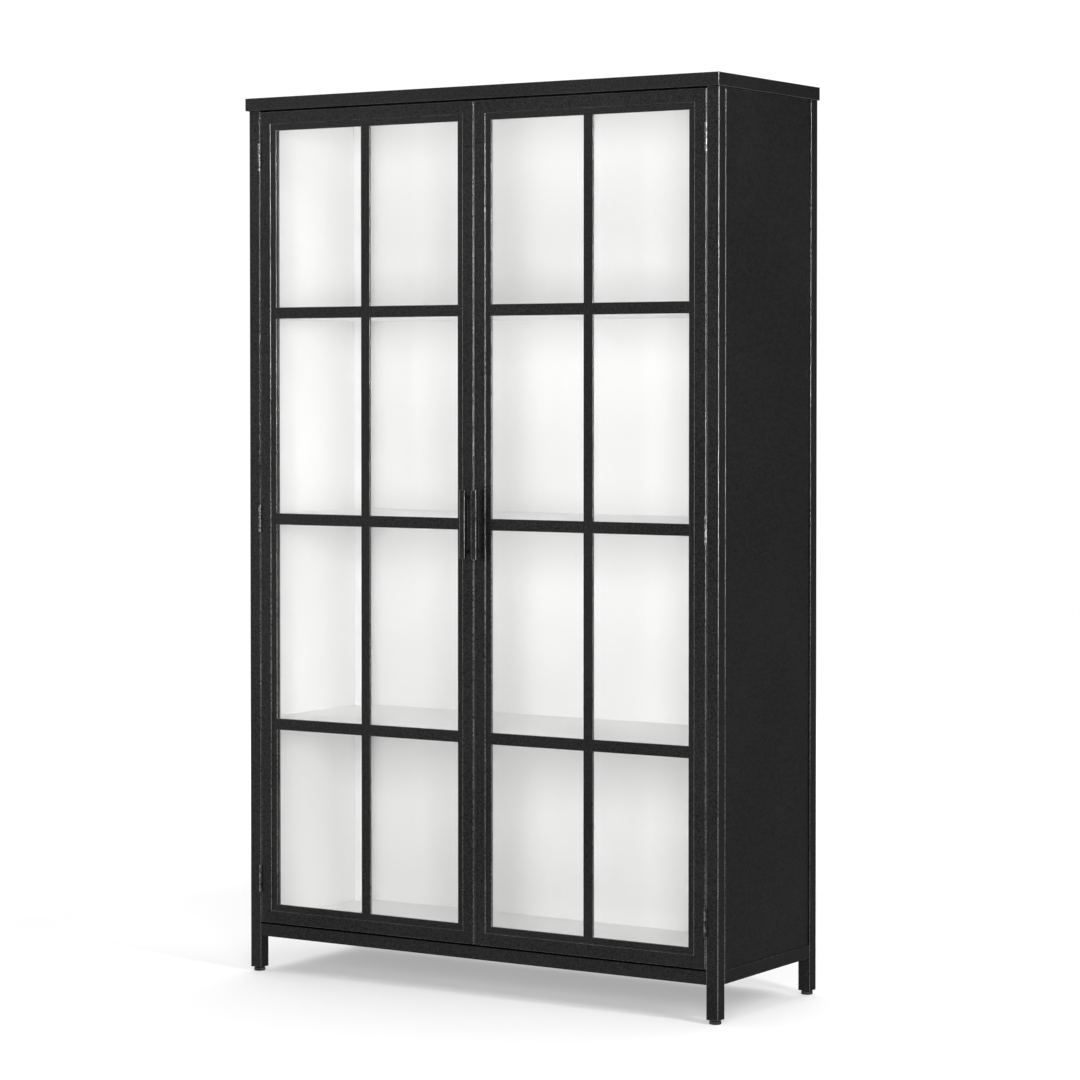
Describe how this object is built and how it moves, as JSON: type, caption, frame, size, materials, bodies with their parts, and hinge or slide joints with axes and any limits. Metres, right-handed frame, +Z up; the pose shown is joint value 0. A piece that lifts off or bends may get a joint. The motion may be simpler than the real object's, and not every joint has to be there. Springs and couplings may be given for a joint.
{
  "type": "glazed display cabinet",
  "caption": "Tall black steel display cabinet with a white interior, fixed shelves and glazed lattice doors on hinges, standing on screw feet.",
  "frame": {"origin": "on the floor, under the middle of the whole object's box", "axes": "+Z up, -Y towards the doors, +X to the right as seen from the front"},
  "size_m": [1.308, 0.4914, 2.108],
  "materials": {
    "black_powder_coat": "satin powder coat with a fine grain",
    "white_enamel": "smooth satin white paint",
    "clear_glass": "clear float glass, 3 mm",
    "hinge_steel": "bare steel with rubbed edges",
    "zinc_steel": "zinc plated",
    "black_plastic": "moulded, slightly shiny on its rims"
  },
  "bodies": {
    "cabinet": {"back_panel": "white_enamel", "ceiling_panel": "white_enamel", "corner_trim_left": "white_enamel", "corner_trim_right": "white_enamel", "door_catch": "black_plastic", "floor_panel": "white_enamel", "hinge_post_leaf_left_lower": "hinge_steel", "hinge_post_leaf_left_middle": "hinge_steel", "hinge_post_leaf_left_upper": "hinge_steel", "hinge_post_leaf_right_lower": "hinge_steel", "hinge_post_leaf_right_middle": "hinge_steel", "hinge_post_leaf_right_upper": "hinge_steel", "post_front_left": "black_powder_coat", "post_front_right": "black_powder_coat", "post_rear_left": "black_powder_coat", "post_rear_right": "black_powder_coat", "rail_bottom_front": "black_powder_coat", "rail_bottom_left": "black_powder_coat", "rail_bottom_rear": "black_powder_coat", "rail_bottom_right": "black_powder_coat", "rail_top_front": "black_powder_coat", "shelf_bearer_lower_left": "zinc_steel", "shelf_bearer_lower_right": "zinc_steel", "shelf_bearer_middle_left": "zinc_steel", "shelf_bearer_middle_right": "zinc_steel", "shelf_bearer_upper_left": "zinc_steel", "shelf_bearer_upper_right": "zinc_steel", "shelf_lower": "white_enamel", "shelf_middle": "white_enamel", "shelf_upper": "white_enamel", "side_panel_left": "black_powder_coat", "side_panel_right": "black_powder_coat", "top_cap": "black_powder_coat"},
    "door_left": {"door_left_bottom_rail": "black_powder_coat", "door_left_glass": "clear_glass", "door_left_glass_retainer": "black_powder_coat", "door_left_handle": "black_powder_coat", "door_left_hinge_stile": "black_powder_coat", "door_left_lattice": "black_powder_coat", "door_left_meeting_stile": "black_powder_coat", "door_left_top_rail": "black_powder_coat", "hinge_door_leaf_left_lower": "hinge_steel", "hinge_door_leaf_left_middle": "hinge_steel", "hinge_door_leaf_left_upper": "hinge_steel"},
    "door_right": {"door_right_bottom_rail": "black_powder_coat", "door_right_glass": "clear_glass", "door_right_glass_retainer": "black_powder_coat", "door_right_handle": "black_powder_coat", "door_right_hinge_stile": "black_powder_coat", "door_right_lattice": "black_powder_coat", "door_right_meeting_stile": "black_powder_coat", "door_right_top_rail": "black_powder_coat", "hinge_door_leaf_right_lower": "hinge_steel", "hinge_door_leaf_right_middle": "hinge_steel", "hinge_door_leaf_right_upper": "hinge_steel"},
    "foot_front_left": {"foot_front_left": "black_plastic"},
    "foot_front_right": {"foot_front_right": "black_plastic"},
    "foot_rear_left": {"foot_rear_left": "black_plastic"},
    "foot_rear_right": {"foot_rear_right": "black_plastic"}
  },
  "joints": [
    {"name": "door_left_hinge", "type": "hinge", "parent": "cabinet", "child": "door_left", "pos_m": [-0.61775, -0.22265, 1.097], "axis": [0, 0, -1], "range_deg": [0, 170]},
    {"name": "door_right_hinge", "type": "hinge", "parent": "cabinet", "child": "door_right", "pos_m": [0.61775, -0.22265, 1.097], "axis": [0, 0, 1], "range_deg": [0, 170]},
    {"name": "foot_front_left_screw", "type": "slide", "parent": "cabinet", "child": "foot_front_left", "axis": [0, 0, -1], "range_m": [0, 0.01]},
    {"name": "foot_front_right_screw", "type": "slide", "parent": "cabinet", "child": "foot_front_right", "axis": [0, 0, -1], "range_m": [0, 0.01]},
    {"name": "foot_rear_left_screw", "type": "slide", "parent": "cabinet", "child": "foot_rear_left", "axis": [0, 0, -1], "range_m": [0, 0.01]},
    {"name": "foot_rear_right_screw", "type": "slide", "parent": "cabinet", "child": "foot_rear_right", "axis": [0, 0, -1], "range_m": [0, 0.01]}
  ]
}
